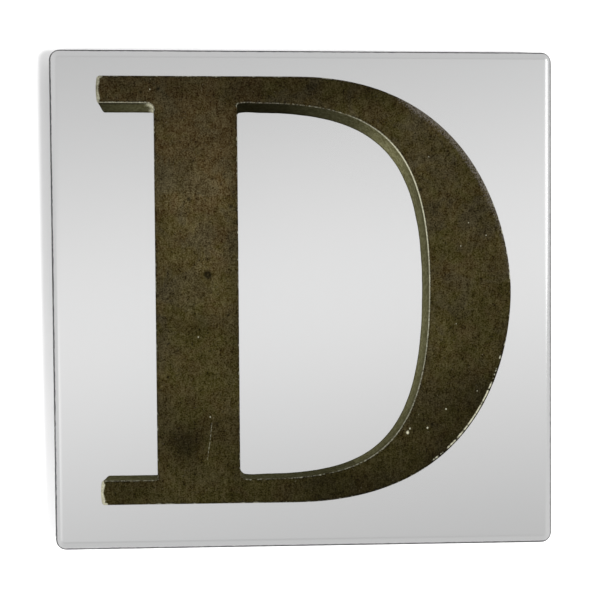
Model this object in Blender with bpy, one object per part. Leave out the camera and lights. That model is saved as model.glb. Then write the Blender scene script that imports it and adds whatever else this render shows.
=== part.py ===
"""A leather stamping head: a bronze capital D fastened to a steel plate from behind.

The head lies on its back. +Z is the way the letter faces, +Y is the top of the letter,
and the origin is the middle of the plate's back. Lengths are in metres.
"""

import math

import bmesh
import bpy
from mathutils import Vector

MM = 0.001

# Plate
PLATE_WIDTH = 94.0 * MM
PLATE_HEIGHT = 93.0 * MM
PLATE_THICKNESS = 8.0 * MM
PLATE_CORNER = 2.0 * MM
PLATE_ROUND_OVER = 1.8 * MM
PLATE_BACK_CHAMFER = 0.4 * MM

# Space left between pieces that touch
GAP = 0.3 * MM

# Letter: its height is three inches
LETTER_THICKNESS = 8.0 * MM
LETTER_TOP = 39.4 * MM
LETTER_BOTTOM = LETTER_TOP - 76.2 * MM
LETTER_EDGE = 0.35 * MM
SERIF_END = -37.1 * MM
SERIF_CORNER = 0.5 * MM
STEM_LEFT = -27.1 * MM
STEM_RIGHT = -12.3 * MM
UPPER_BAR = 4.8 * MM
LOWER_BAR = 4.4 * MM
UPPER_FILLET = 1.1 * MM
LOWER_FILLET = 0.3 * MM
COUNTER_UPPER_FILLET = 0.5 * MM
COUNTER_LOWER_FILLET = 1.1 * MM

# Bowl: each half is one curve from a bar to the widest point. START is where it leaves the
# bar, and the two reaches say how far it runs on along the bar and along the upright tangent.
BOWL_RIGHT = 36.9 * MM
BOWL_MIDDLE = 1.1 * MM
BOWL_UPPER = {"start": -1.6 * MM, "bar_reach": 33.7 * MM, "side_reach": 9.0 * MM}
BOWL_LOWER = {"start": -2.4 * MM, "bar_reach": 36.0 * MM, "side_reach": 9.0 * MM}
COUNTER_RIGHT = 22.0 * MM
COUNTER_MIDDLE = 1.9 * MM
COUNTER_UPPER = {"start": -8.3 * MM, "bar_reach": 21.9 * MM, "side_reach": 25.3 * MM}
COUNTER_LOWER = {"start": -7.7 * MM, "bar_reach": 19.3 * MM, "side_reach": 29.4 * MM}
CURVE_STEPS = 28

# Letter fastenings: M4 countersunk screws and 4 mm dowels
STEM_MIDDLE = (STEM_LEFT + STEM_RIGHT) / 2
DIE_SCREW_PLACES = (
    (STEM_MIDDLE, 30.0 * MM),
    (STEM_MIDDLE, 0.0),
    (STEM_MIDDLE, -28.0 * MM),
    (25.7 * MM, 20.0 * MM),
    (29.3 * MM, 6.0 * MM),
    (26.0 * MM, -18.5 * MM),
)
DIE_SCREW = {
    "shank": 2.0 * MM,
    "head": 3.75 * MM,
    "length": 12.0 * MM,
    "key": 2.5 * MM,
    "key_depth": 1.6 * MM,
}
DOWEL_PLACES = ((STEM_MIDDLE, 15.0 * MM), (28.9 * MM, -7.0 * MM))
DOWEL_RADIUS = 2.0 * MM
DOWEL_LENGTH = 10.0 * MM
DOWEL_RECESS = 1.5 * MM
DOWEL_BEVEL = 0.4 * MM
SCREW_RECESS = 0.3 * MM
SCREW_RIM = 0.2 * MM
SCREW_TIP = 0.5 * MM
DIE_HOLE_SPARE = 1.0 * MM
SOCKET_HOLE_SPARE = 0.5 * MM

# Handle socket: an M8 bush with four M3 countersunk screws
FLANGE_RADIUS = 13.0 * MM
FLANGE_THICKNESS = 3.0 * MM
BOSS_RADIUS = 7.0 * MM
BUSH_HEIGHT = 5.4 * MM
BUSH_BORE = 4.0 * MM
BUSH_CHAMFER = 0.6 * MM
FLANGE_CHAMFER = 0.3 * MM
SOCKET_SCREW_CIRCLE = 10.0 * MM
SOCKET_SCREW = {
    "shank": 1.5 * MM,
    "head": 2.75 * MM,
    "length": 6.0 * MM,
    "key": 2.0 * MM,
    "key_depth": 1.2 * MM,
}
SOCKET_SCREW_COUNT = 4

ROUND_STEPS = 32
BUSH_STEPS = 64
SHARP_ANGLE = math.radians(35)
# How far a cutting shape runs past the surface that it opens
OVERRUN = 1.0 * MM


def clear_scene():
    for obj in list(bpy.data.objects):
        bpy.data.objects.remove(obj, do_unlink=True)


def material(name, colour, roughness, metallic):
    made = bpy.data.materials.new(name)
    made.use_nodes = True
    shader = made.node_tree.nodes["Principled BSDF"]
    shader.inputs["Base Color"].default_value = (*colour, 1.0)
    shader.inputs["Roughness"].default_value = roughness
    shader.inputs["Metallic"].default_value = metallic
    return made


def new_object(name, mesh, surface=None):
    made = bpy.data.objects.new(name, mesh)
    bpy.context.scene.collection.objects.link(made)
    if surface and not mesh.materials:
        mesh.materials.append(surface)
    return made


def mesh_from(bm, name):
    bmesh.ops.remove_doubles(bm, verts=bm.verts, dist=1e-7)
    bmesh.ops.recalc_face_normals(bm, faces=bm.faces)
    mesh = bpy.data.meshes.new(name)
    bm.to_mesh(mesh)
    bm.free()
    mesh.shade_smooth()
    mesh.set_sharp_from_angle(angle=SHARP_ANGLE)
    return mesh


# Outlines


def arc(centre, radius, start, end, steps):
    """Points along an arc, with the angles in degrees."""
    angles = [math.radians(start + (end - start) * i / steps) for i in range(steps + 1)]
    return [centre + radius * Vector((math.cos(a), math.sin(a))) for a in angles]


def bezier(a, b, c, d, steps):
    points = []
    for i in range(steps + 1):
        t = i / steps
        u = 1 - t
        points.append(a * u**3 + b * 3 * u**2 * t + c * 3 * u * t**2 + d * t**3)
    return points


def bowl_half(bar_y, right, middle, shape):
    """One half of a bowl, from its bar to its widest point."""
    side = math.copysign(shape["side_reach"], bar_y - middle)
    return bezier(
        Vector((shape["start"], bar_y)),
        Vector((shape["start"] + shape["bar_reach"], bar_y)),
        Vector((right, middle + side)),
        Vector((right, middle)),
        CURVE_STEPS,
    )


def letter_outline():
    """The outside of the D, anticlockwise from the top of its left serif."""
    under_top = LETTER_TOP - UPPER_BAR
    over_bottom = LETTER_BOTTOM + LOWER_BAR
    corner = SERIF_CORNER
    end = SERIF_END + corner
    points = arc(Vector((end, LETTER_TOP - corner)), corner, 90, 180, 5)
    points += arc(Vector((end, under_top + corner)), corner, 180, 270, 5)
    # The stem's inner corners curve the other way
    upper = UPPER_FILLET
    points += arc(Vector((STEM_LEFT - upper, under_top - upper)), upper, 90, 0, 6)
    lower = LOWER_FILLET
    points += arc(Vector((STEM_LEFT - lower, over_bottom + lower)), lower, 0, -90, 3)
    points += arc(Vector((end, over_bottom - corner)), corner, 90, 180, 5)
    points += arc(Vector((end, LETTER_BOTTOM + corner)), corner, 180, 270, 5)
    points += bowl_half(LETTER_BOTTOM, BOWL_RIGHT, BOWL_MIDDLE, BOWL_LOWER)
    points += bowl_half(LETTER_TOP, BOWL_RIGHT, BOWL_MIDDLE, BOWL_UPPER)[-2::-1]
    return points


def counter_outline():
    """The opening in the D, clockwise, so that its material side is the same as the outside's."""
    under_top = LETTER_TOP - UPPER_BAR
    over_bottom = LETTER_BOTTOM + LOWER_BAR
    upper = COUNTER_UPPER_FILLET
    lower = COUNTER_LOWER_FILLET
    points = arc(Vector((STEM_RIGHT + lower, over_bottom + lower)), lower, 270, 180, 6)
    points += arc(Vector((STEM_RIGHT + upper, under_top - upper)), upper, 180, 90, 4)
    points += bowl_half(under_top, COUNTER_RIGHT, COUNTER_MIDDLE, COUNTER_UPPER)
    points += bowl_half(over_bottom, COUNTER_RIGHT, COUNTER_MIDDLE, COUNTER_LOWER)[-2::-1]
    return points


def plate_outline():
    x = PLATE_WIDTH / 2 - PLATE_CORNER
    y = PLATE_HEIGHT / 2 - PLATE_CORNER
    points = []
    for start, corner in ((0, (x, y)), (90, (-x, y)), (180, (-x, -y)), (270, (x, -y))):
        points += arc(Vector(corner), PLATE_CORNER, start, start + 90, 8)
    return points


def inset(points, distance):
    """The outline moved into its material, which is on the left of the way it runs."""
    moved = []
    for i, here in enumerate(points):
        before = (here - points[i - 1]).normalized()
        after = (points[(i + 1) % len(points)] - here).normalized()
        normal = Vector((-before.y - after.y, before.x + after.x)).normalized()
        moved.append(here + normal * distance / normal.dot(Vector((-before.y, before.x))))
    return moved


# Solids


def extruded(name, outlines, profile):
    """A flat-backed solid. The profile is (inset, height) pairs, from the back face up."""
    bm = bmesh.new()
    caps = ([], [])
    for outline in outlines:
        rings = []
        for distance, height in profile:
            rings.append([bm.verts.new((*p, height)) for p in inset(outline, distance)])
        for low, high in zip(rings, rings[1:]):
            for i in range(len(low)):
                bm.faces.new((low[i - 1], low[i], high[i], high[i - 1]))
        for cap, ring in zip(caps, (rings[0], rings[-1])):
            cap += [bm.edges.get((ring[i - 1], ring[i])) for i in range(len(ring))]
    for cap in caps:
        bmesh.ops.triangle_fill(bm, use_beauty=True, use_dissolve=False, edges=cap)
    return mesh_from(bm, name)


def turned(name, profile, steps=ROUND_STEPS):
    """A solid of revolution about Z. The profile is (radius, height) pairs and ends on the axis."""
    bm = bmesh.new()
    verts = [bm.verts.new((radius, 0, height)) for radius, height in profile]
    edges = [bm.edges.new(pair) for pair in zip(verts, verts[1:])]
    bmesh.ops.spin(
        bm,
        geom=verts + edges,
        axis=(0, 0, 1),
        cent=(0, 0, 0),
        angle=2 * math.pi,
        steps=steps,
        use_merge=True,
    )
    return mesh_from(bm, name)


def helper(name, mesh, place=(0, 0, 0)):
    """A cutting shape, left out of the finished object."""
    made = new_object(name, mesh)
    made.location = place
    made.hide_render = True
    made.display_type = "WIRE"
    return made


def cut(target, cutters):
    """Cuts shapes that stay clear of each other from the target, in one go."""
    group = bpy.data.collections.new(target.name + "_cutters")
    bpy.context.scene.collection.children.link(group)
    for cutter in cutters:
        bpy.context.scene.collection.objects.unlink(cutter)
        group.objects.link(cutter)
    modifier = target.modifiers.new("holes", "BOOLEAN")
    modifier.operation = "DIFFERENCE"
    modifier.solver = "EXACT"
    modifier.operand_type = "COLLECTION"
    modifier.collection = group


def finished_mesh(obj):
    """The object's mesh with its modifiers applied. The object itself is removed."""
    bpy.context.view_layer.update()
    graph = bpy.context.evaluated_depsgraph_get()
    mesh = bpy.data.meshes.new_from_object(obj.evaluated_get(graph))
    bpy.data.objects.remove(obj, do_unlink=True)
    return mesh


# Pieces


def screw_mesh(name, size):
    """A countersunk screw with a hexagon socket, its head's flat face at z = 0 and its tip up."""
    shank = size["shank"]
    head = size["head"]
    profile = (
        (0, 0),
        (head, 0),
        (head, SCREW_RIM),
        (shank, SCREW_RIM + head - shank),
        (shank, size["length"] - SCREW_TIP),
        (shank - SCREW_TIP, size["length"]),
        (0, size["length"]),
    )
    blank = new_object(name, turned(name, profile))
    key = turned(name + "_key", key_profile(size), steps=6)
    cutter = helper(name + "_key", key, (0, 0, -size["key_depth"] / 2))
    cut(blank, [cutter])
    mesh = finished_mesh(blank)
    bpy.data.objects.remove(cutter, do_unlink=True)
    return mesh


def key_profile(size):
    """A hexagonal prism is a solid of revolution made in six steps."""
    corner = size["key"] / math.sqrt(3)
    depth = 1.5 * size["key_depth"]
    return ((0, 0), (corner, 0), (corner, depth), (0, depth))


def screw_hole_profile(size, depth):
    """The space that a screw needs, from below the plate's back up to a flat floor."""
    shank = size["shank"] + GAP
    head = size["head"] + GAP
    cone_low = GAP + SCREW_RECESS
    return (
        (0, -OVERRUN),
        (head, -OVERRUN),
        (head, cone_low),
        (shank, cone_low + head - shank),
        (shank, depth),
        (0, depth),
    )


def hole_profile(radius, low, high):
    return ((0, low), (radius, low), (radius, high), (0, high))


def place_copies(name, mesh, places, height, surface):
    for number, (x, y) in enumerate(places, start=1):
        made = new_object(f"{name}_{number}", mesh, surface)
        made.location = (x, y, height)


def socket_screw_places():
    angles = [math.radians(45 + 360 * i / SOCKET_SCREW_COUNT) for i in range(SOCKET_SCREW_COUNT)]
    return [(SOCKET_SCREW_CIRCLE * math.cos(a), SOCKET_SCREW_CIRCLE * math.sin(a)) for a in angles]


def die_screw_floor():
    return SCREW_RECESS + DIE_SCREW["length"] + DIE_HOLE_SPARE


def dowel_floor():
    return DOWEL_RECESS + DOWEL_LENGTH + DIE_HOLE_SPARE


def letter_die(surface):
    back = PLATE_THICKNESS + GAP
    face = back + LETTER_THICKNESS
    edge = LETTER_EDGE
    profile = ((0, back), (0, face - edge), (0.3 * edge, face - 0.3 * edge), (edge, face))
    mesh = extruded("letter_die", (letter_outline(), counter_outline()), profile)
    letter = new_object("letter_die", mesh, surface)
    low = back - OVERRUN
    radius = DIE_SCREW["shank"] + GAP
    tapped = turned("tapped_hole", hole_profile(radius, low, die_screw_floor()))
    pinned = turned("pin_hole", hole_profile(DOWEL_RADIUS + GAP, low, dowel_floor()))
    cutters = [helper("tapped_hole", tapped, (x, y, 0)) for x, y in DIE_SCREW_PLACES]
    cutters += [helper("pin_hole", pinned, (x, y, 0)) for x, y in DOWEL_PLACES]
    cut(letter, cutters)


def base_plate(surface):
    top = PLATE_THICKNESS
    radius = PLATE_ROUND_OVER
    profile = [(PLATE_BACK_CHAMFER, 0), (0, PLATE_BACK_CHAMFER)]
    for point in arc(Vector((radius, top - radius)), radius, 180, 90, 6):
        profile.append(tuple(point))
    plate = new_object("base_plate", extruded("base_plate", (plate_outline(),), profile), surface)

    above = top + OVERRUN
    die_hole = turned("die_screw_hole", screw_hole_profile(DIE_SCREW, above))
    pin_hole = turned("plate_pin_hole", hole_profile(DOWEL_RADIUS + GAP, -OVERRUN, above))
    cutters = [helper("die_screw_hole", die_hole, (x, y, 0)) for x, y in DIE_SCREW_PLACES]
    cutters += [helper("plate_pin_hole", pin_hole, (x, y, 0)) for x, y in DOWEL_PLACES]
    pocket_profile = (
        (0, -OVERRUN),
        (FLANGE_RADIUS + GAP, -OVERRUN),
        (FLANGE_RADIUS + GAP, FLANGE_THICKNESS + GAP),
        (BOSS_RADIUS + GAP, FLANGE_THICKNESS + GAP),
        (BOSS_RADIUS + GAP, BUSH_HEIGHT + GAP),
        (0, BUSH_HEIGHT + GAP),
    )
    pocket = turned("socket_pocket", pocket_profile, BUSH_STEPS)
    cut(plate, cutters + [helper("socket_pocket", pocket)])

    low = FLANGE_THICKNESS
    high = SCREW_RECESS + SOCKET_SCREW["length"] + SOCKET_HOLE_SPARE
    radius = SOCKET_SCREW["shank"] + GAP
    tapped = turned("socket_tapped_hole", hole_profile(radius, low, high))
    for x, y in socket_screw_places():
        modifier = plate.modifiers.new("socket_screw_hole", "BOOLEAN")
        modifier.operation = "DIFFERENCE"
        modifier.solver = "EXACT"
        modifier.object = helper("socket_tapped_hole", tapped, (x, y, 0))


def handle_socket(surface):
    chamfer = BUSH_CHAMFER
    profile = (
        (BUSH_BORE, chamfer),
        (BUSH_BORE + chamfer, 0),
        (FLANGE_RADIUS - FLANGE_CHAMFER, 0),
        (FLANGE_RADIUS, FLANGE_CHAMFER),
        (FLANGE_RADIUS, FLANGE_THICKNESS),
        (BOSS_RADIUS, FLANGE_THICKNESS),
        (BOSS_RADIUS, BUSH_HEIGHT),
        (BUSH_BORE, BUSH_HEIGHT),
        (BUSH_BORE, chamfer),
    )
    bush = new_object("handle_socket", turned("handle_socket", profile, BUSH_STEPS), surface)
    hole = turned("flange_hole", screw_hole_profile(SOCKET_SCREW, FLANGE_THICKNESS + OVERRUN))
    cut(bush, [helper("flange_hole", hole, (x, y, 0)) for x, y in socket_screw_places()])


def fastenings(steel, pin_steel):
    die_screw = screw_mesh("die_screw", DIE_SCREW)
    place_copies("die_screw", die_screw, DIE_SCREW_PLACES, SCREW_RECESS, steel)
    socket_screw = screw_mesh("socket_screw", SOCKET_SCREW)
    place_copies("socket_screw", socket_screw, socket_screw_places(), SCREW_RECESS, steel)
    profile = (
        (0, 0),
        (DOWEL_RADIUS - DOWEL_BEVEL, 0),
        (DOWEL_RADIUS, DOWEL_BEVEL),
        (DOWEL_RADIUS, DOWEL_LENGTH - DOWEL_BEVEL),
        (DOWEL_RADIUS - DOWEL_BEVEL, DOWEL_LENGTH),
        (0, DOWEL_LENGTH),
    )
    place_copies("dowel_pin", turned("dowel_pin", profile), DOWEL_PLACES, DOWEL_RECESS, pin_steel)


def main():
    clear_scene()
    letter_die(material("aged_bronze", (0.055, 0.043, 0.022), 0.5, 0.7))
    base_plate(material("satin_steel", (0.62, 0.62, 0.61), 0.35, 1.0))
    handle_socket(material("turned_steel", (0.45, 0.44, 0.42), 0.3, 1.0))
    black_oxide = material("black_oxide_steel", (0.03, 0.03, 0.032), 0.45, 0.8)
    fastenings(black_oxide, material("ground_steel", (0.6, 0.6, 0.6), 0.2, 1.0))


main()
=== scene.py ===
"""The looks of the stamping head: an aged bronze letter on a satin steel plate, on a pale table."""

import math

import bmesh
import bpy
import numpy as np
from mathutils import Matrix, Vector, geometry, kdtree, noise


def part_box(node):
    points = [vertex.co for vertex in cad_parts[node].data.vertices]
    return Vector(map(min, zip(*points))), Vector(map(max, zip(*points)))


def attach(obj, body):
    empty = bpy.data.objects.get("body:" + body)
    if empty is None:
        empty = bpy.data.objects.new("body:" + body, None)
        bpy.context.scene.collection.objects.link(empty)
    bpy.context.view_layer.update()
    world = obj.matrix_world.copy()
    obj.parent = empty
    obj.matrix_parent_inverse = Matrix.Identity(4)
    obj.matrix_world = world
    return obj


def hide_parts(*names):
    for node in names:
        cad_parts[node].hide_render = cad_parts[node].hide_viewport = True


MM = 0.001
# Places closer than this are the same, in metres
CLOSE = 1e-6

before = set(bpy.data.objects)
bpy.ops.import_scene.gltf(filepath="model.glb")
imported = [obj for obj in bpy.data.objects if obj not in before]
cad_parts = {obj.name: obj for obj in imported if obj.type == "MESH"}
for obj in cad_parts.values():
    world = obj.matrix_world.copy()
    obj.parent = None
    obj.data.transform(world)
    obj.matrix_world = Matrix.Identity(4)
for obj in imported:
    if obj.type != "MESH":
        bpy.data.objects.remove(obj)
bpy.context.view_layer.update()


# Places, read from the frame


def corners(node):
    low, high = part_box(node)
    return np.array(low), np.array(high)


PLATE_LOW, PLATE_HIGH = corners("base_plate")
LETTER_LOW, LETTER_HIGH = corners("letter_die")
PLATE_TOP = PLATE_HIGH[2]
FACE = LETTER_HIGH[2]


# Camera: nearly overhead, about 20 cm above the plate, a little left of and below its middle


def add_camera():
    data = bpy.data.cameras.new("camera")
    data.sensor_width = 36.0
    data.lens = 66.0
    data.shift_y = 0.1385
    data.clip_start = 10 * MM
    data.clip_end = 10.0
    camera = bpy.data.objects.new("camera", data)
    camera.location = (-11.4 * MM, -9.1 * MM, PLATE_TOP + 205.6 * MM)
    camera.rotation_euler = [math.radians(angle) for angle in (-1.77, -2.9, -0.43)]
    bpy.context.scene.collection.objects.link(camera)
    bpy.context.scene.camera = camera


# Node materials


class Nodes:
    """A short way to build a material's node tree."""

    def __init__(self, name):
        self.material = bpy.data.materials.new(name)
        self.material.use_nodes = True
        self.tree = self.material.node_tree
        self.shader = self.tree.nodes["Principled BSDF"]
        self.place = self.add("ShaderNodeTexCoord").outputs["Object"]

    def add(self, kind, **settings):
        node = self.tree.nodes.new(kind)
        for key, value in settings.items():
            setattr(node, key, value)
        return node

    def feed(self, socket, value):
        if isinstance(value, bpy.types.NodeSocket):
            self.tree.links.new(value, socket)
        elif socket.type == "RGBA":
            socket.default_value = (*value, 1.0)
        else:
            socket.default_value = value

    def scaled(self, scale):
        """The object's coordinates times scale, which is in pattern cells for each millimetre."""
        node = self.add("ShaderNodeMapping")
        self.feed(node.inputs["Vector"], self.place)
        size = scale if isinstance(scale, tuple) else (scale, scale, scale)
        node.inputs["Scale"].default_value = [s / MM for s in size]
        return node.outputs["Vector"]

    def noise(self, scale, detail=4.0, rough=0.55, distortion=0.0):
        node = self.add("ShaderNodeTexNoise")
        self.feed(node.inputs["Vector"], self.scaled(scale))
        node.inputs["Scale"].default_value = 1.0
        node.inputs["Detail"].default_value = detail
        node.inputs["Roughness"].default_value = rough
        node.inputs["Distortion"].default_value = distortion
        return node.outputs["Fac"]

    def span(self, value, low, high, out_low=0.0, out_high=1.0, smooth=True):
        node = self.add("ShaderNodeMapRange", interpolation_type="SMOOTHSTEP" if smooth else "LINEAR")
        self.feed(node.inputs["Value"], value)
        node.inputs["From Min"].default_value = low
        node.inputs["From Max"].default_value = high
        node.inputs["To Min"].default_value = out_low
        node.inputs["To Max"].default_value = out_high
        return node.outputs["Result"]

    def math(self, operation, a, b=0.0):
        node = self.add("ShaderNodeMath", operation=operation)
        self.feed(node.inputs[0], a)
        self.feed(node.inputs[1], b)
        return node.outputs["Value"]

    def mix(self, factor, a, b, blend="MIX"):
        node = self.add("ShaderNodeMix", data_type="RGBA", blend_type=blend)
        self.feed(node.inputs["Factor"], factor)
        self.feed(node.inputs["A"], a)
        self.feed(node.inputs["B"], b)
        return node.outputs["Result"]

    def grey(self, value):
        node = self.add("ShaderNodeCombineColor")
        for socket in ("Red", "Green", "Blue"):
            self.feed(node.inputs[socket], value)
        return node.outputs["Color"]

    def axis(self, name):
        node = self.add("ShaderNodeSeparateXYZ")
        self.feed(node.inputs["Vector"], self.place)
        return node.outputs[name]

    def attribute(self, name):
        return self.add("ShaderNodeAttribute", attribute_name=name).outputs["Fac"]

    def bump(self, height, distance, strength=1.0, under=None):
        node = self.add("ShaderNodeBump")
        self.feed(node.inputs["Height"], height)
        node.inputs["Distance"].default_value = distance
        node.inputs["Strength"].default_value = strength
        if under:
            self.feed(node.inputs["Normal"], under)
        return node.outputs["Normal"]

    def finish(self, colour, roughness, metallic, normal=None):
        self.feed(self.shader.inputs["Base Color"], colour)
        self.feed(self.shader.inputs["Roughness"], roughness)
        self.feed(self.shader.inputs["Metallic"], metallic)
        if normal:
            self.feed(self.shader.inputs["Normal"], normal)
        return self.material


def aged_bronze():
    """Cast bronze under a dark olive-brown patina, rubbed back to metal where it is handled, with
    painted light and shade.
    """
    n = Nodes("aged_bronze")

    # The face runs from brown to olive, with greyer patches, as light as the tone attribute says
    drift = n.span(n.noise(0.22, 5.0, 0.62, 0.6), 0.32, 0.68, -0.42, 0.42)
    hue = n.span(n.math("ADD", n.attribute("olive"), drift), 0.0, 1.0, smooth=False)
    colour = n.mix(hue, (0.0815, 0.0585, 0.0250), (0.0790, 0.0665, 0.0225))
    patches = n.span(n.noise(0.17, 4.0, 0.6, 0.8), 0.44, 0.64)
    colour = n.mix(n.math("MULTIPLY", patches, n.attribute("ashen")), colour, (0.0780, 0.0640, 0.0325))
    tone = n.attribute("tone")
    colour = n.mix(1.0, colour, n.grey(tone), "MULTIPLY")

    # Grain, rubbing and flecks, which are greyer than the patina
    grain = n.span(n.noise(3.8, 2.0, 0.6), 0.26, 0.76, -0.56, 0.56)
    mottle = n.span(n.noise(0.9, 6.0, 0.72, 0.8), 0.30, 0.72, -0.34, 0.34)
    streak = n.span(n.noise((2.6, 0.5, 1.0), 3.0, 0.6), 0.30, 0.72, -0.18, 0.18)
    uneven = n.math("ADD", n.math("ADD", grain, mottle), streak)
    flecks = n.mix(1.0, n.grey(n.math("MULTIPLY", uneven, tone)), (0.078, 0.068, 0.038), "MULTIPLY")
    colour = n.mix(1.0, colour, flecks, "ADD")
    colour = n.mix(1.0, colour, (0.009, 0.0075, 0.004), "LIGHTEN")
    where = n.span(n.noise(0.30, 3.0, 0.6), 0.40, 0.66, 0.25, 1.0)
    pits = n.span(n.noise(2.3, 2.0, 0.6, 0.3), 0.62, 0.70)
    pitted = n.math("MULTIPLY", pits, n.math("MULTIPLY", where, 0.75))
    colour = n.mix(pitted, colour, (0.016, 0.013, 0.007))
    specks = n.span(n.noise(3.1, 1.0, 0.5, 0.2), 0.725, 0.78)
    specked = n.math("MULTIPLY", specks, n.math("MULTIPLY", where, 0.5))
    colour = n.mix(specked, colour, (0.20, 0.175, 0.13))

    # Walls, with casting grime, darkened and lightened by painted shade and light
    side = n.attribute("side")
    grime = n.span(n.noise((1.6, 1.6, 0.8), 5.0, 0.7, 0.4), 0.34, 0.68)
    wall = n.mix(grime, (0.076, 0.071, 0.032), (0.160, 0.154, 0.084))
    wall = n.mix(1.0, wall, n.grey(n.attribute("wall_painted_shade_and_light")), "MULTIPLY")
    colour = n.mix(side, colour, wall)

    # Scuffed to a dull grey-pink, and rubbed through to bright metal. The same bright colour is a
    # painted highlight in the corner under the top serif and along the bowl's inner edge
    flaky = n.span(n.noise(3.2, 4.0, 0.8, 0.5), 0.32, 0.68, 0.0, 2.0)
    scuff = n.span(n.math("MULTIPLY", n.attribute("scuff"), flaky), 0.30, 0.95)
    colour = n.mix(n.math("MULTIPLY", scuff, 0.75), colour, (0.215, 0.192, 0.165))
    ragged = n.span(n.noise(2.6, 4.0, 0.7), 0.3, 0.7, -0.18, 0.18)
    worn = n.span(n.math("ADD", n.attribute("wear_and_highlight"), ragged), 0.18, 1.0, smooth=False)
    colour = n.mix(worn, colour, (0.80, 0.78, 0.58))

    rough = n.span(n.noise(1.3, 4.0, 0.65), 0.3, 0.7, 0.40, 0.58)
    rough = n.math("ADD", rough, n.math("MULTIPLY", side, 0.25))
    rough = n.math("SUBTRACT", rough, n.math("MULTIPLY", worn, 0.10))
    metal = n.math("SUBTRACT", 0.92, n.math("MULTIPLY", side, 0.55))
    relief = n.bump(n.noise(2.4, 4.0, 0.7), 0.03 * MM, 0.6)
    relief = n.bump(n.math("MULTIPLY", pits, -1.0), 0.06 * MM, 0.8, relief)
    n.shader.inputs["Specular IOR Level"].default_value = 0.0
    n.shader.inputs["Specular Tint"].default_value = (0.60, 0.55, 0.40, 1.0)
    return n.finish(colour, rough, metal, relief)


def satin_steel():
    """Satin-rolled plate, with its sides painted dark as the shade along its rim."""
    n = Nodes("satin_steel")
    haze = n.span(n.noise(0.05, 3.0, 0.5), 0.3, 0.7, 0.0, 1.0)
    colour = n.mix(haze, (0.795, 0.798, 0.80), (0.80, 0.80, 0.80))
    z = n.axis("Z")
    ragged = n.span(n.noise(0.9, 3.0, 0.6), 0.3, 0.7, -0.06 * MM, 0.06 * MM)
    height = n.math("ADD", z, ragged)
    # Painted shade: the sides, from about half a millimetre under the top down, are dark and dull
    scaled = n.span(height, PLATE_TOP - 0.64 * MM, PLATE_TOP - 0.50 * MM, 1.0, 0.0)
    clouds = n.span(n.noise(1.4, 5.0, 0.7), 0.35, 0.65)
    side_shade_tint = n.mix(clouds, (0.060, 0.060, 0.064), (0.105, 0.104, 0.104))
    colour = n.mix(scaled, colour, side_shade_tint)
    rough = n.span(n.noise((0.5, 6.0, 0.5), 3.0, 0.6), 0.3, 0.7, 0.20, 0.23)
    rough = n.math("ADD", rough, n.math("MULTIPLY", scaled, 0.4))
    metal = n.math("SUBTRACT", 1.0, n.math("MULTIPLY", scaled, 0.95))
    n.shader.inputs["Specular IOR Level"].default_value = 0.03
    return n.finish(colour, rough, metal)


def turned_steel():
    """Lathe-turned steel, with fine rings about the object's axis."""
    n = Nodes("turned_steel")
    x = n.axis("X")
    y = n.axis("Y")
    radius = n.math("SQRT", n.math("ADD", n.math("MULTIPLY", x, x), n.math("MULTIPLY", y, y)))
    rings = n.math("SINE", n.math("MULTIPLY", radius, 2 * math.pi / (0.22 * MM)))
    dirt = n.span(n.noise(0.7, 4.0, 0.6), 0.35, 0.7)
    colour = n.mix(dirt, (0.56, 0.55, 0.53), (0.36, 0.35, 0.32))
    rough = n.span(n.noise(1.2, 3.0, 0.6), 0.3, 0.7, 0.25, 0.42)
    return n.finish(colour, rough, 1.0, n.bump(rings, 0.01 * MM, 0.5))


def black_oxide():
    n = Nodes("black_oxide_steel")
    rub = n.span(n.noise(2.2, 4.0, 0.7), 0.55, 0.75)
    colour = n.mix(rub, (0.030, 0.030, 0.033), (0.12, 0.12, 0.12))
    rough = n.span(n.noise(1.5, 3.0, 0.6), 0.3, 0.7, 0.35, 0.55)
    return n.finish(colour, rough, 0.85, n.bump(n.noise(5.0, 2.0, 0.5), 0.006 * MM, 0.5))


def ground_steel():
    n = Nodes("ground_steel")
    colour = n.mix(n.span(n.noise(1.5, 3.0, 0.6), 0.4, 0.7), (0.62, 0.62, 0.62), (0.42, 0.41, 0.40))
    rough = n.span(n.noise(3.0, 2.0, 0.6), 0.3, 0.7, 0.18, 0.32)
    return n.finish(colour, rough, 1.0, n.bump(n.noise(4.0, 2.0, 0.5), 0.004 * MM, 0.4))


def pale_table():
    n = Nodes("pale_table")
    colour = n.mix(n.noise(0.02, 2.0, 0.5), (0.90, 0.90, 0.90), (0.92, 0.92, 0.92))
    return n.finish(colour, 0.75, 0.0, n.bump(n.noise(1.5, 2.0, 0.5), 0.003 * MM, 0.2))


# Meshes


def welded_copy(node, name):
    """A new object with the node's shape, its split points joined."""
    bm = welded(node)
    mesh = bpy.data.meshes.new(name)
    bm.to_mesh(mesh)
    bm.free()
    obj = bpy.data.objects.new(name, mesh)
    bpy.context.scene.collection.objects.link(obj)
    return obj


def points_of(mesh):
    values = np.empty(len(mesh.vertices) * 3, np.float32)
    mesh.vertices.foreach_get("co", values)
    return values.reshape(-1, 3).astype(float)


def noise_at(points, scale, seed=0.0):
    """Smooth noise from -1 to 1 at each point, with scale in cells for each millimetre."""
    shift = Vector((seed * 17.3, seed * 5.1, seed * 9.7))
    factor = scale / MM
    return np.array([noise.noise(Vector(p) * factor + shift) for p in points])


def put_attribute(mesh, name, values):
    layer = mesh.attributes.new(name, "FLOAT", "POINT")
    layer.data.foreach_set("value", np.asarray(values, np.float32))


# Letter: the CAD outline with finer points, a worn edge, and dents in a close net of faces

# Outline points are this close, and a chord longer than STRAIGHT isn't bent
SPACING = 0.25 * MM
STRAIGHT = 4.0 * MM
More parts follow.
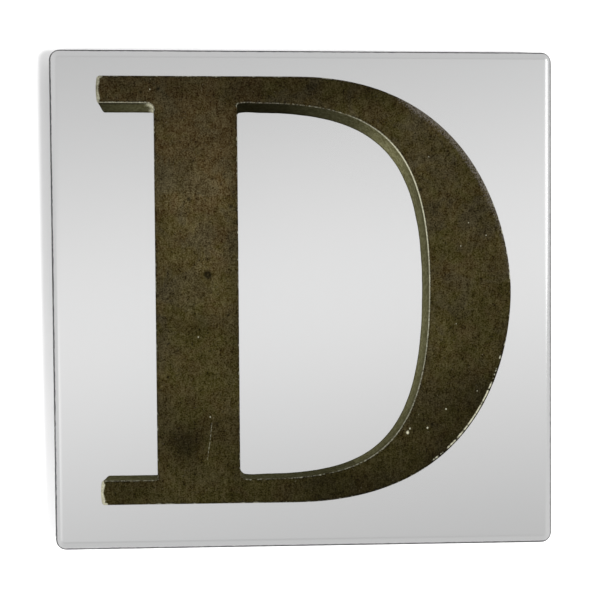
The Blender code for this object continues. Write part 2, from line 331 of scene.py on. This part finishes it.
# Distances of the rows of points beside the edge, and the pitch of the net beyond them
EDGE_ROWS = (0.09 * MM, 0.18 * MM, 0.28 * MM, 0.40 * MM, 0.55 * MM, 0.75 * MM)
NET = 0.45 * MM
# The outline is taken under the CAD's bevelled edge, and the foot all but touches the plate
RIM_DROP = 0.35 * MM
FOOT = PLATE_TOP + 0.03 * MM
# Where the stem meets the top serif, in mm
STEM_LEFT_MM = -27.1
UNDER_TOP_MM = 34.6

# Bright dings on the face: (x, y, radius) in mm, and brightness
DINGS = (
    (18.0, -24.4, 0.50, 1.5),
    (18.4, -23.7, 0.30, 1.0),
    (21.6, -23.6, 0.30, 1.4),
    (25.0, -20.2, 0.28, 1.0),
    (30.7, -17.0, 0.24, 0.9),
    (26.9, -4.8, 0.20, 0.7),
    (22.0, 25.2, 0.25, 0.9),
    (29.2, 13.4, 0.21, 0.9),
    (32.4, 11.1, 0.26, 0.8),
    (27.8, 9.2, 0.21, 0.9),
    (20.0, -21.1, 0.20, 0.5),
    (25.6, 16.1, 0.18, 0.4),
    (-17.6, -21.2, 0.28, 0.9),
    (-19.6, -6.9, 0.26, 0.9),
    (-27.7, 37.0, 0.24, 0.7),
    (-15.0, 24.5, 0.15, 0.5),
)
DING_STEEPNESS = 0.35
# Dark pocks: (x, y, radius, depth) in mm
POCKS = (
    (-26.2, 37.1, 0.34, 0.10),
    (-29.3, 36.5, 0.25, 0.08),
    (-21.0, 17.6, 0.36, 0.10),
    (22.4, -23.0, 0.30, 0.10),
    (-13.6, 16.3, 0.34, 0.12),
    (20.5, 19.4, 0.40, 0.12),
    (-14.2, -3.0, 0.25, 0.08),
    (-25.0, -14.0, 0.22, 0.08),
    (31.5, 3.2, 0.22, 0.08),
    (6.0, -35.2, 0.30, 0.08),
)
# A ring-shaped dent and a dark smudge: (x, y, radius) in mm. A scratch: its points in mm
RING_DENT = (-17.8, 4.2, 0.95)
SMUDGE = (-22.0, -26.7, 1.6)
SCRATCH = ((-17.3, -22.2), (-17.6, -25.0), (-18.2, -29.0))

# Lighter and darker areas of the patina: (x, y, reach in x, reach in y, gain)
PATINA = (
    (-19.5, 19.0, 7.0, 15.0, 0.46),
    (-19.5, 1.0, 7.0, 9.0, 0.09),
    (29.0, 12.0, 9.0, 20.0, -0.02),
    (14.0, 35.0, 12.0, 5.0, -0.06),
    (-20.0, -24.5, 7.0, 4.0, -0.24),
    (12.0, -34.5, 26.0, 7.0, -0.47),
    (-32.0, -34.5, 6.0, 5.0, -0.36),
    (5.0, 37.5, 60.0, 3.5, -0.32),
    (27.0, -20.0, 11.0, 9.0, -0.26),
    (-13.0, 5.0, 1.6, 40.0, -0.12),
    (-22.0, -25.5, 3.5, 3.0, -0.20),
    (38.0, -4.0, 4.5, 14.0, -0.16),
    (31.0, -19.0, 6.0, 6.0, -0.16),
    (24.0, -27.5, 9.0, 4.5, -0.14),
    (31.0, 14.0, 3.5, 8.0, -0.12),
    (23.5, 6.0, 2.2, 24.0, 0.06),
)


def spot(points, x, y, reach_x, reach_y):
    """A soft round patch, 1 at its middle, at each point. Its place and reach are in mm."""
    across = (points[:, 0] / MM - x) / reach_x
    along = (points[:, 1] / MM - y) / reach_y
    return np.exp(-(across**2) - along**2)


def welded(node):
    bm = bmesh.new()
    bm.from_mesh(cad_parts[node].data)
    bmesh.ops.remove_doubles(bm, verts=bm.verts, dist=CLOSE)
    return bm


def chains(edges):
    """The edges as closed chains of vertices."""
    links = {}
    for e in edges:
        for v in e.verts:
            links.setdefault(v, []).append(e.other_vert(v))
    found = []
    while links:
        v = min(links, key=lambda v: (round(v.co.x, 6), round(v.co.y, 6)))
        chain = []
        while v:
            chain.append(v)
            onward = links.pop(v)
            v = next((w for w in onward if w in links), None)
        found.append(chain)
    return found


def outlines_at(node, height):
    """A node's closed outlines at one height, largest first, with the material on their left."""
    bm = welded(node)
    edges = [e for e in bm.edges if all(abs(v.co.z - height) < CLOSE for v in e.verts)]
    loops = [np.array([v.co.xy[:] for v in chain]) for chain in chains(edges)]
    bm.free()
    loops.sort(key=lambda loop: -abs(signed_area(loop)))
    signs = [1.0] + [-1.0] * (len(loops) - 1)
    turned = zip(loops, signs)
    return [loop if signed_area(loop) * sign > 0 else loop[::-1] for loop, sign in turned]


def blind_holes(first):
    """The CAD's holes in the letter's back: points, faces and rims, with point numbers from first on."""
    bm = welded("letter_die")
    low = LETTER_LOW[2] + MM
    high = FACE - 2 * MM
    walls = [f for f in bm.faces if any(low < v.co.z < high for v in f.verts)]
    number = {}
    for face in walls:
        for v in face.verts:
            number.setdefault(v, first + len(number))
    points = [(v.co.x, v.co.y, max(v.co.z, FOOT) if v.co.z > low else FOOT) for v in number]
    faces = [[number[v] for v in face.verts] for face in walls]
    inner = set(walls)
    rims = chains([e for f in walls for e in f.edges if sum(g in inner for g in e.link_faces) == 1])
    rims = [[number[v] for v in rim] for rim in rims]
    bm.free()
    return np.array(points), faces, rims


def signed_area(loop):
    x, y = loop.T
    return 0.5 * np.sum(x * np.roll(y, -1) - y * np.roll(x, -1))


def unit(vectors):
    return vectors / np.linalg.norm(vectors, axis=1, keepdims=True)


def smoothed(loop):
    """The outline at close points, with its short chords bent into arcs."""
    steps = np.roll(loop, -1, axis=0) - loop
    lengths = np.linalg.norm(steps, axis=1)
    before = np.roll(lengths, 1)
    tangents = unit(unit(np.roll(steps, 1, axis=0)) * lengths[:, None] + unit(steps) * before[:, None])
    points = []
    for i, step in enumerate(steps):
        pieces = max(1, round(lengths[i] / SPACING))
        ahead = tangents[(i + 1) % len(loop)] * lengths[i]
        for k in range(pieces):
            t = k / pieces
            if lengths[i] > STRAIGHT:
                points.append(loop[i] + step * t)
                continue
            here = (2 * t**3 - 3 * t**2 + 1) * loop[i] + (3 * t**2 - 2 * t**3) * (loop[i] + step)
            bent = here + (t**3 - 2 * t**2 + t) * tangents[i] * lengths[i]
            points.append(bent + (t**3 - t**2) * ahead)
    return np.array(points)


def inward(loop):
    """Unit vectors into the material, one for each point of an outline."""
    along = unit(np.roll(loop, -1, axis=0) - np.roll(loop, 1, axis=0))
    return np.stack([-along[:, 1], along[:, 0]], axis=1)


def finder(points):
    tree = kdtree.KDTree(len(points))
    for i, p in enumerate(points):
        tree.insert((p[0], p[1], 0.0), i)
    tree.balance()
    return tree


def nearest(tree, points):
    """Index of and distance to the nearest outline point, for each point."""
    found = [tree.find((p[0], p[1], 0.0)) for p in points]
    return np.array([f[1] for f in found]), np.array([f[2] for f in found])


def even_net(low, high, pitch):
    """Points of a triangular net, its rows 0.866 of the pitch apart."""
    rows = np.arange(low[1], high[1], pitch * 0.866)
    columns = np.arange(low[0], high[0], pitch)
    return np.array([(x + (k % 2) * pitch / 2, y) for k, y in enumerate(rows) for x in columns])


def rosette(x, y, radius):
    """Close points round a dent, in metres."""
    rings = [(r, 6 + 3 * k) for k, r in enumerate(np.linspace(0.25, 1.4, 5) * radius)]
    turns = [(r, 2 * math.pi * i / count) for r, count in rings for i in range(count)]
    return np.array([(x, y)] + [(x + r * math.cos(a), y + r * math.sin(a)) for r, a in turns]) * MM


def inside(points, loops):
    """Whether each point is in the material, by the winding of all outlines."""
    odd = np.zeros(len(points), bool)
    for loop in loops:
        for a, b in zip(loop, np.roll(loop, -1, axis=0)):
            if a[1] == b[1]:
                continue
            crosses = (a[1] > points[:, 1]) != (b[1] > points[:, 1])
            x = a[0] + (points[:, 1] - a[1]) * (b[0] - a[0]) / (b[1] - a[1])
            odd ^= crosses & (points[:, 0] < x)
    return odd


def face_points(loops, tree, coarse):
    """Points inside the outlines: rows beside the edge, an even net, and rosettes round the dents."""
    rows = [loop + inward(loop) * distance for distance in EDGE_ROWS for loop in loops]
    depths = [np.full(len(loop), distance) for distance in EDGE_ROWS for loop in loops]
    rows, depths = np.concatenate(rows), np.concatenate(depths)
    kept = [rows[nearest(tree, rows)[1] > 0.93 * depths]]
    net = even_net(LETTER_LOW, LETTER_HIGH, NET)
    net = net[inside(net, coarse)]
    net = net[nearest(tree, net)[1] > EDGE_ROWS[-1] + 0.5 * NET]
    dents = [rosette(x, y, radius) for x, y, radius, _ in DINGS + POCKS] + [rosette(*RING_DENT)]
    dents += [scratch_points()]
    clear = finder(np.concatenate(dents))
    kept.append(net[nearest(clear, net)[1] > 0.5 * NET])
    return np.concatenate(kept + dents)


def scratch_points():
    ends = np.array(SCRATCH)
    t = np.linspace(0, 1, 24)[:, None]
    line = np.concatenate([a + (b - a) * t for a, b in zip(ends, ends[1:])])
    return np.concatenate([line + (offset, 0.0) for offset in (-0.12, 0.0, 0.12)]) * MM


def edge_wear(edge, owner, distance):
    """How the worn edge shapes and colours each point, from its nearest edge point.

    It returns the drop, the bright metal and painted highlight, the scuffing, the darkening and how far
    the edge falls.
    """
    x, y = edge[:, 0] / MM, edge[:, 1] / MM
    flat = np.column_stack([edge, np.zeros(len(edge))])
    rough = noise_at(flat, 0.9, 2.0)
    fine = noise_at(flat, 2.4, 12.0)
    slow = noise_at(flat, 0.18, 1.0)
    outer = owner == 0
    d = distance / MM
    left, bottom, _ = LETTER_LOW / MM
    top = LETTER_HIGH[1] / MM

    # Widths and drops: a small round everywhere, a wide bevel on the serif ends
    width = 0.22 + 0.05 * slow
    drop = 0.15 + 0.04 * slow + 0.04 * np.clip(rough, 0, 1)
    serif_end = x < left + 0.45
    levels = (top, top - 4.8, bottom + 4.4, bottom)
    serif_corners = sum(spot(edge, left, level, 1.1, 1.1) for level in levels)
    width = np.where(serif_end, 0.50, width) + 0.35 * serif_corners
    drop = np.where(serif_end, 0.40, drop) + 0.05 * serif_corners
    fall = np.clip(1.0 - d / width, 0.0, 1.0)

    # Bright metal, and a painted highlight along the bowl's inner edge
    band = np.clip((1.15 - d / width) * 4.0, 0.0, 1.0)
    line = np.exp(-(((d - 0.08) / 0.13) ** 2))
    bright = line * np.clip(0.08 + 0.5 * rough + 0.8 * fine, 0.0, 0.46)
    ends = np.where(y > 0, 0.50, 0.78) + 0.18 * fine + 0.1 * rough
    bright = np.where(serif_end | (serif_corners > 0.35), band * ends, bright)
    # Along the bowl's inner edge the bright line is partly a painted highlight, brightest high on the
    # bowl
    arris = np.interp(y, (-34, -28, -10, 4, 26, 31, 34), (0.2, 0.5, 0.5, 0.8, 1.2, 0.55, 0.30))
    bright = np.where(~outer & (x > -8), line * (arris + 0.25 * fine), bright)
    under_bar = (y > top - 6) & (y < top - 3) & (x > left + 0.45) & (x <= -8)
    bright = np.where(under_bar, line * (np.where(outer, 0.55, 0.30) + 0.2 * fine), bright)
    over_bar = (y < bottom + 6) & (y > bottom + 3) & (x > left + 0.45) & (x < -27)
    bright = np.where(over_bar, line * 0.35, bright)

    # Chips at the lower right show as a broken bright line inside a dark edge
    chipped = outer & (x > 20) & (y < -8) & (y > -30)
    amount = np.clip(1.35 - np.abs(y + 22) / 8 + 1.3 * fine + 0.6 * rough, 0, 1.3)
    chip_line = np.exp(-(((d - 0.36) / 0.13) ** 2))
    bright = np.where(chipped, chip_line * amount, bright)
    drop = np.where(chipped, 0.16 + 0.10 * amount, drop)
    nicked = outer & (x > 33) & (y > -10) & (y < 14)
    bright = np.where(nicked, line * np.clip(0.1 + 1.2 * fine + 0.6 * rough, 0, 0.8), bright)

    reach = np.interp(x, (14, 20, 32, 37), (0.0, 1.0, 0.9, 0.35)) * outer * (y > 4)
    scuff = reach * np.clip(1.1 - d / 1.5, 0, 1)
    scuff = np.maximum(scuff, 0.5 * np.clip(1.0 - d / 0.5, 0, 1) * (0.7 + slow))
    dark = 1.0 - chipped * (0.6 * np.clip(1.2 - d / 0.25, 0, 1) + 0.35 * np.clip(1.0 - d / 2.0, 0, 1))
    dark *= 1.0 - np.clip(0.35 + 1.6 * fine, 0.0, 0.75) * np.clip(1.2 - d / 0.45, 0, 1)
    return drop * MM * fall * (0.35 + 0.65 * fall), bright, scuff, dark, fall


def dent_depth(points):
    """(depth, bright) of the dings, the pocks, the ring-shaped dent and the scratch."""
    depth = np.zeros(len(points))
    bright = np.zeros(len(points))
    for x, y, radius, light in DINGS:
        patch = spot(points, x, y, 0.62 * radius, 0.80 * radius)
        depth += DING_STEEPNESS * radius * MM * patch
        bright = np.maximum(bright, light * np.clip(patch - 0.2, 0, 1))
    for x, y, radius, deep in POCKS:
        depth += deep * MM * spot(points, x, y, 0.6 * radius, 0.6 * radius)
    x, y, radius = RING_DENT
    away = np.hypot(points[:, 0] / MM - x, points[:, 1] / MM - y)
    depth += 0.10 * MM * np.exp(-(((away - 0.62 * radius) / 0.16) ** 2))
    start, bend, end = np.array(SCRATCH)
    middle = np.interp(points[:, 1] / MM, (end[1], bend[1], start[1]), (end[0], bend[0], start[0]))
    along = (points[:, 1] / MM < start[1]) & (points[:, 1] / MM > end[1])
    line = along * np.exp(-(((points[:, 0] / MM - middle) / 0.09) ** 2))
    return depth + 0.03 * MM * line, np.maximum(bright, 0.38 * line)


def patina_tone(points):
    """How light the patina is at each point."""
    tone = np.full(len(points), 0.83)
    for x, y, reach_x, reach_y, gain in PATINA:
        tone += gain * spot(points, x, y, reach_x, reach_y)
    flat = np.column_stack([points[:, :2], np.zeros(len(points))])
    tone *= 1.0 + 0.22 * noise_at(flat, 0.11, 4.0) + 0.16 * noise_at(flat, 0.33, 5.0)
    x, y, radius = SMUDGE
    tone *= 1.0 - 0.4 * spot(points, x, y, radius, radius)
    for x, y, radius, _ in POCKS:
        tone *= 1.0 - 0.75 * spot(points, x, y, radius, radius)
    x, y, radius = RING_DENT
    away = np.hypot(points[:, 0] / MM - x, points[:, 1] / MM - y)
    tone *= 1.0 - 0.88 * np.exp(-(((away - 0.40 * radius) / 0.42) ** 2))
    return np.clip(tone, 0.2, 1.6)


def flat_fill(loops, extra=()):
    """Triangles that fill the outlines, over their points and the extra points."""
    points = [Vector(p) for loop in loops for p in loop]
    edges = []
    first = 0
    for loop in loops:
        count = len(loop)
        edges += [(first + i, first + (i + 1) % count) for i in range(count)]
        first += count
    points += [Vector(p) for p in extra]
    flat = np.array([p[:] for p in points])
    _, _, faces, origins, _, _ = geometry.delaunay_2d_cdt(points, edges, [], 0, 1e-9, True)
    faces = np.array([[origins[i][0] for i in face] for face in faces])
    return faces[inside(flat[faces].mean(axis=1), loops)]


def wall_heights():
    """Heights of the walls' rows of points, from the foot up to the edge."""
    top = FACE - RIM_DROP
    return list(np.linspace(FOOT, top - 0.1 * MM, 12)) + [top]


def letter_piece(surface):
    """The letter as a worn casting, whose foot meets the plate and keeps the CAD's blind holes."""
    coarse = outlines_at("letter_die", FACE - RIM_DROP)
    loops = [smoothed(loop) for loop in coarse]
    rim = np.concatenate(loops)
    owner = np.concatenate([np.full(len(loop), i) for i, loop in enumerate(loops)])
    into = np.concatenate([inward(loop) for loop in loops])
    tree = finder(rim)

    extra = face_points(loops, tree, coarse)
    flat = np.concatenate([rim, extra])
    index, distance = nearest(tree, flat)
    distance[: len(rim)] = 0.0
    drop, bright, scuff, dark, fall = edge_wear(rim[index], owner[index], distance)
    depth, dent_bright = dent_depth(flat)
    lifted = np.column_stack([flat, np.zeros(len(flat))])
    wave = 0.015 * (1.0 + noise_at(lifted, 0.25, 6.0)) + 0.012 * (1.0 + noise_at(lifted, 0.9, 7.0))
    top = np.column_stack([flat, FACE - drop - depth - wave * MM * (1.0 - fall)])

    # Walls, from just under the rim down to the foot, a little uneven
    heights = wall_heights()[::-1]
    rows = []
    for level, height in enumerate(heights):
        ring = np.column_stack([rim, np.full(len(rim), height)])
        if level == 0:
            ring[:, 2] = top[: len(rim), 2] - 0.08 * MM
        bumpy = noise_at(ring, 0.30, 8.0) * 0.03 * MM + noise_at(ring, 0.8, 9.0) * 0.02 * MM
        fade = 0.3 if level == 0 else 1.0
        ring[:, :2] += into * (fade * (0.04 * MM + bumpy))[:, None]
        rows.append(ring)
    points = np.concatenate([top] + rows)

    holes, hole_faces, hole_rims = blind_holes(len(points))
    points = np.concatenate([points, holes])
    faces = flat_fill(loops, extra).tolist() + hole_faces
    starts = [0] + [len(top) + level * len(rim) for level in range(len(heights))]
    first = 0
    feet = []
    for loop in loops:
        count = len(loop)
        ahead = [(i + 1) % count for i in range(count)]
        for upper, lower in zip(starts, starts[1:]):
            upper, lower = upper + first, lower + first
            faces += [(upper + j, upper + i, lower + i, lower + j) for i, j in enumerate(ahead)]
        feet.append(list(range(starts[-1] + first, starts[-1] + first + count)))
        first += count
    feet += hole_rims
    numbers = np.concatenate([np.array(foot) for foot in feet])
    back = flat_fill([points[foot][:, :2] for foot in feet])
    faces += numbers[back].tolist()

    mesh = bpy.data.meshes.new("letter_casting")
    mesh.from_pydata([tuple(p) for p in points], [], faces)
    face_outwards(mesh)

    count = len(mesh.vertices)
    on_face = np.arange(count) < len(top)
    everywhere = points_of(mesh)
    wear_and_highlight = np.zeros(count)
    wear_and_highlight[: len(top)] = np.maximum(bright, dent_bright)
    wear_and_highlight[len(top) : len(top) + len(rim)] = 0.5 * bright[: len(rim)]
    # A painted highlight on the walls in the corner where the stem meets the top serif
    stem_corner_highlight = spot(everywhere, STEM_LEFT_MM - 0.5, UNDER_TOP_MM - 0.5, 1.0, 1.2) * ~on_face
    wear_and_highlight = np.maximum(wear_and_highlight, stem_corner_highlight * (0.75 + 0.6 * noise_at(everywhere * (1.0, 1.0, 0.3), 1.6, 11.0)))
    spread = np.zeros(count)
    spread[: len(top)] = scuff
    tone = patina_tone(everywhere)
    tone[: len(top)] *= dark
    put_attribute(mesh, "wear_and_highlight", wear_and_highlight)
    put_attribute(mesh, "scuff", spread)
    put_attribute(mesh, "side", np.where(on_face, 0.0, 1.0))
    put_attribute(mesh, "tone", tone)
    put_attribute(mesh, "olive", olive_share(everywhere))
    put_attribute(mesh, "ashen", ashen_share(everywhere))
    put_attribute(mesh, "wall_painted_shade_and_light", wall_painted_shade_and_light(everywhere))
    mesh.shade_smooth()
    mesh.set_sharp_from_angle(angle=math.radians(60))
    mesh.materials.append(surface)
    obj = bpy.data.objects.new("letter_casting", mesh)
    bpy.context.scene.collection.objects.link(obj)
    # Left out of the plate's reflections
    obj.visible_glossy = False
    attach(obj, "root")
    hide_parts("letter_die")
    return obj


def ashen_share(points):
    """Where the patina has dulled to grey: the upper stem, and all round the bowl."""
    x, y = points[:, 0] / MM, points[:, 1] / MM
    stem = np.interp(y, (-10, 10, 25), (0.3, 0.8, 0.6))
    bowl = np.interp(y, (-35, 0, 25), (0.5, 0.7, 1.0))
    beside = 0.6 * spot(points, STEM_LEFT_MM + 1.0, 10.0, 2.2, 28.0)
    return np.clip(np.where(x < -8, stem, bowl) + beside, 0.0, 1.0)


def olive_share(points):
    """The patina turns from brown to olive towards the foot of the letter."""
    x, y = points[:, 0] / MM, points[:, 1] / MM
    stem = np.interp(y, (-35, -6, 12, 30), (0.85, 0.75, 0.25, 0.10))
    bowl = np.interp(y, (-35, 10, 30), (0.85, 0.62, 0.62))
    return np.where(x < -8, stem, bowl)


def wall_painted_shade_and_light(points):
    """Painted shade under both ends of the top bar and towards the foot, and painted light in layers on
    the bowl's inner wall.
    """
    x, y = points[:, 0] / MM, points[:, 1] / MM
    height = (points[:, 2] - FOOT) / (FACE - FOOT)
    # Painted shade under the top bar, deepest beside the stem, and under the top serif
    under = (y > 30) & (y < UNDER_TOP_MM + 0.3)
    counter_top_shading = np.interp(x, (-13, -4, 8, 16), (0.10, 0.14, 0.6, 1.5))
    serif = np.interp(x, (-37, -30, -27), (0.34, 0.66, 1.1))
    serif = serif * np.interp(height, (0.72, 0.95), (1.0, 0.25))
    tone = np.where(under & (x > -13.5), counter_top_shading, np.where(under & (x < -26.0), serif, 0.9))
    # Painted light in layers up the bowl's inner wall
    bowl = (x > 8) & (y < 30) & (y > -30)
    bowl_wall_light = np.interp(height, (0.0, 0.15, 0.45, 0.75, 0.88, 1.0), (1.2, 1.65, 1.50, 1.20, 0.90, 1.2))
    tone *= np.where(bowl, bowl_wall_light, 1.0)
    # Painted light on two parts of the bowl's inner wall, and painted shade along the bottom bar
    tone += 0.8 * spot(points, 16.0, 26.0, 5.0, 6.0)
    tone += 0.25 * spot(points, 24.0, -8.0, 5.0, 10.0)
    tone -= 0.3 * spot(points, 4.0, -32.4, 14.0, 2.0)
    # Painted shade towards the foot of every wall
    return tone * np.interp(height, (0.0, 0.08, 0.2, 1.0), (0.45, 0.8, 1.0, 1.0))


def face_outwards(mesh):
    bm = bmesh.new()
    bm.from_mesh(mesh)
    bmesh.ops.recalc_face_normals(bm, faces=bm.faces)
    bm.to_mesh(mesh)
    bm.free()


def plate_piece(surface):
    """The plate, shaded so that its top is dead flat and runs smoothly into its rounded edge."""
    obj = welded_copy("base_plate", "satin_plate")
    mesh = obj.data
    mesh.shade_smooth()
    mesh.set_sharp_from_angle(angle=math.radians(30))
    normals = np.array([n.vector for n in mesh.corner_normals])
    for face in mesh.polygons:
        for loop in face.loop_indices:
            at_top = mesh.vertices[mesh.loops[loop].vertex_index].co.z > PLATE_TOP - CLOSE
            if abs(face.normal.z) > 0.999:
                normals[loop] = face.normal
            elif at_top and face.normal.z > 0.5:
                normals[loop] = (0.0, 0.0, 1.0)
    mesh.normals_split_custom_set([tuple(n) for n in normals])
    mesh.materials.append(surface)
    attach(obj, "root")
    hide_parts("base_plate")
    return obj


def dress_fastenings():
    """Materials for the CAD's fastenings. All but the socket are left out of reflections."""
    finishes = {"die_screw": black_oxide(), "socket_screw": black_oxide()}
    finishes["dowel_pin"] = ground_steel()
    finishes["handle_socket"] = turned_steel()
    for name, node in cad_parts.items():
        for start, surface in finishes.items():
            if name.startswith(start):
                node.data.materials.clear()
                node.data.materials.append(surface)
                node.visible_glossy = name.startswith("handle_socket")


# Studio


def add_floor():
    size = 3.0
    bm = bmesh.new()
    bmesh.ops.create_grid(bm, x_segments=8, y_segments=8, size=size / 2)
    mesh = bpy.data.meshes.new("table_top")
    bm.to_mesh(mesh)
    bm.free()
    mesh.materials.append(pale_table())
    floor = bpy.data.objects.new("table_top", mesh)
    bpy.context.scene.collection.objects.link(floor)
    # Left out of the plate's reflections
    floor.visible_glossy = False


def add_softbox(name, place, target, size, power, turn=0.0, glossy=True):
    data = bpy.data.lights.new(name, "AREA")
    data.shape = "RECTANGLE"
    data.size, data.size_y = size
    data.energy = power
    light = bpy.data.objects.new(name, data)
    light.location = place
    aim = Vector(target) - Vector(place)
    light.rotation_euler = aim.to_track_quat("-Z", "Y").to_euler()
    if turn:
        light.rotation_euler.rotate_axis("Z", turn)
    light.visible_glossy = glossy
    bpy.context.scene.collection.objects.link(light)


def map_range(tree, value, start, end):
    """The value, with the pair start mapped to the pair end."""
    node = tree.nodes.new("ShaderNodeMapRange")
    tree.links.new(value, node.inputs["Value"])
    node.inputs["From Min"].default_value, node.inputs["From Max"].default_value = start
    node.inputs["To Min"].default_value, node.inputs["To Max"].default_value = end
    return node.outputs["Result"]


def add_world():
    """White all round, a little brighter to the left and right, and dimmer straight above.

    The plate's top reflects the dimmer part.
    """
    world = bpy.data.worlds.new("studio")
    world.use_nodes = True
    tree = world.node_tree
    direction = tree.nodes.new("ShaderNodeTexCoord").outputs["Generated"]
    split = tree.nodes.new("ShaderNodeSeparateXYZ")
    tree.links.new(direction, split.inputs["Vector"])
    strength = map_range(tree, split.outputs["Z"], (0.75, 0.96), (0.66, 0.55))
    across = tree.nodes.new("ShaderNodeMath")
    across.operation = "ABSOLUTE"
    tree.links.new(split.outputs["X"], across.inputs[0])
    sides = map_range(tree, across.outputs["Value"], (0.35, 0.80), (0.0, 0.06))
    total = tree.nodes.new("ShaderNodeMath")
    tree.links.new(strength, total.inputs[0])
    tree.links.new(sides, total.inputs[1])
    backdrop = tree.nodes["Background"]
    backdrop.inputs["Color"].default_value = (1.0, 1.0, 1.0, 1.0)
    tree.links.new(total.outputs["Value"], backdrop.inputs["Strength"])
    bpy.context.scene.world = world


def add_lights():
    # Nested strips make one light that fades towards its long sides
    for number in range(1, 5):
        width = 0.085 * number
        height = 0.5 + 0.002 * number
        tilt = math.radians(8)
        add_softbox("strip", (0.0, 0.022, height), (0.0, 0.022, 0.0), (1.4, width), 0.48 * width, tilt)
    add_softbox("key", (0.37, -0.19, 0.82), (0.0, 0.0, 0.0), (0.16, 0.16), 8.2, glossy=False)
    add_softbox("fill", (-0.10, -0.11, 0.07), (-0.052, -0.045, 0.0), (0.03, 0.03), 0.11, glossy=False)
    add_softbox("edge", (0.55, 0.19, 0.36), (0.0, 0.0, 0.0), (0.34, 0.26), 0.26)


def set_view():
    settings = bpy.context.scene.view_settings
    settings.view_transform = "Standard"
    settings.look = "None"


def main():
    add_camera()
    letter_piece(aged_bronze())
    plate_piece(satin_steel())
    dress_fastenings()
    add_floor()
    add_world()
    add_lights()
    set_view()


main()
